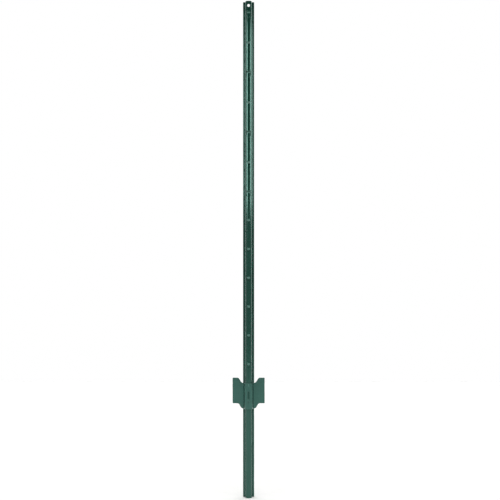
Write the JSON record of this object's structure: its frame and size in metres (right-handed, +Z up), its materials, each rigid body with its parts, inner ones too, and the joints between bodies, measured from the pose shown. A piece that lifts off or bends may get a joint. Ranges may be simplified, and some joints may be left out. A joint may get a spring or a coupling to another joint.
{
  "type": "fence post",
  "caption": "Steel U-channel fence post with lanced wire tabs down its closed face, a hole at its top and a winged anchor plate riveted across its lower part.",
  "frame": {"origin": "on the ground plane at the bottom end, under the middle of the bounding box: midway between the wings in X, and midway between the long tabs' faces and the flanges' rear edges in Y", "axes": "+Z up the post, from its driven end to its top; -Y towards the fence wire, the way the crown and the tabs face; +X to the right as seen from the front"},
  "size_m": [0.079, 0.0288, 1.219],
  "materials": {
    "post_coat": "semi-gloss dark green powder coat on steel",
    "plate_coat": "semi-gloss dark green powder coat on steel"
  },
  "bodies": {
    "post": {"post_channel": "post_coat", "anchor_plate": "plate_coat", "upper_rivet": "plate_coat", "lower_rivet": "plate_coat"},
    "long_wire_tab_1": {"long_wire_tab_1": "post_coat"},
    "long_wire_tab_2": {"long_wire_tab_2": "post_coat"},
    "long_wire_tab_3": {"long_wire_tab_3": "post_coat"},
    "long_wire_tab_4": {"long_wire_tab_4": "post_coat"},
    "short_wire_tab_1": {"short_wire_tab_1": "post_coat"},
    "short_wire_tab_2": {"short_wire_tab_2": "post_coat"},
    "short_wire_tab_3": {"short_wire_tab_3": "post_coat"},
    "short_wire_tab_4": {"short_wire_tab_4": "post_coat"},
    "short_wire_tab_5": {"short_wire_tab_5": "post_coat"},
    "short_wire_tab_6": {"short_wire_tab_6": "post_coat"},
    "short_wire_tab_7": {"short_wire_tab_7": "post_coat"},
    "short_wire_tab_8": {"short_wire_tab_8": "post_coat"},
    "short_wire_tab_9": {"short_wire_tab_9": "post_coat"}
  },
  "joints": [
    {"name": "long_wire_tab_1_bend", "type": "hinge", "parent": "post", "child": "long_wire_tab_1", "pos_m": [0, -0.0066, 1.1933], "axis": [-1, 0, 0], "range_deg": [-12, 35]},
    {"name": "long_wire_tab_2_bend", "type": "hinge", "parent": "post", "child": "long_wire_tab_2", "pos_m": [0, -0.0066, 1.0467], "axis": [-1, 0, 0], "range_deg": [-12, 35]},
    {"name": "long_wire_tab_3_bend", "type": "hinge", "parent": "post", "child": "long_wire_tab_3", "pos_m": [0, -0.0066, 0.9001], "axis": [-1, 0, 0], "range_deg": [-12, 35]},
    {"name": "long_wire_tab_4_bend", "type": "hinge", "parent": "post", "child": "long_wire_tab_4", "pos_m": [0, -0.0066, 0.7535], "axis": [-1, 0, 0], "range_deg": [-12, 35]},
    {"name": "short_wire_tab_1_bend", "type": "hinge", "parent": "post", "child": "short_wire_tab_1", "pos_m": [0, -0.0066, 1.1185], "axis": [-1, 0, 0], "range_deg": [-18, 45]},
    {"name": "short_wire_tab_2_bend", "type": "hinge", "parent": "post", "child": "short_wire_tab_2", "pos_m": [0, -0.0066, 0.9719], "axis": [-1, 0, 0], "range_deg": [-18, 45]},
    {"name": "short_wire_tab_3_bend", "type": "hinge", "parent": "post", "child": "short_wire_tab_3", "pos_m": [0, -0.0066, 0.8253], "axis": [-1, 0, 0], "range_deg": [-18, 45]},
    {"name": "short_wire_tab_4_bend", "type": "hinge", "parent": "post", "child": "short_wire_tab_4", "pos_m": [0, -0.0066, 0.6836], "axis": [-1, 0, 0], "range_deg": [-18, 45]},
    {"name": "short_wire_tab_5_bend", "type": "hinge", "parent": "post", "child": "short_wire_tab_5", "pos_m": [0, -0.0066, 0.61304], "axis": [-1, 0, 0], "range_deg": [-18, 45]},
    {"name": "short_wire_tab_6_bend", "type": "hinge", "parent": "post", "child": "short_wire_tab_6", "pos_m": [0, -0.0066, 0.54248], "axis": [-1, 0, 0], "range_deg": [-18, 45]},
    {"name": "short_wire_tab_7_bend", "type": "hinge", "parent": "post", "child": "short_wire_tab_7", "pos_m": [0, -0.0066, 0.47192], "axis": [-1, 0, 0], "range_deg": [-18, 45]},
    {"name": "short_wire_tab_8_bend", "type": "hinge", "parent": "post", "child": "short_wire_tab_8", "pos_m": [0, -0.0066, 0.40136], "axis": [-1, 0, 0], "range_deg": [-18, 45]},
    {"name": "short_wire_tab_9_bend", "type": "hinge", "parent": "post", "child": "short_wire_tab_9", "pos_m": [0, -0.0066, 0.3308], "axis": [-1, 0, 0], "range_deg": [-18, 45]}
  ]
}
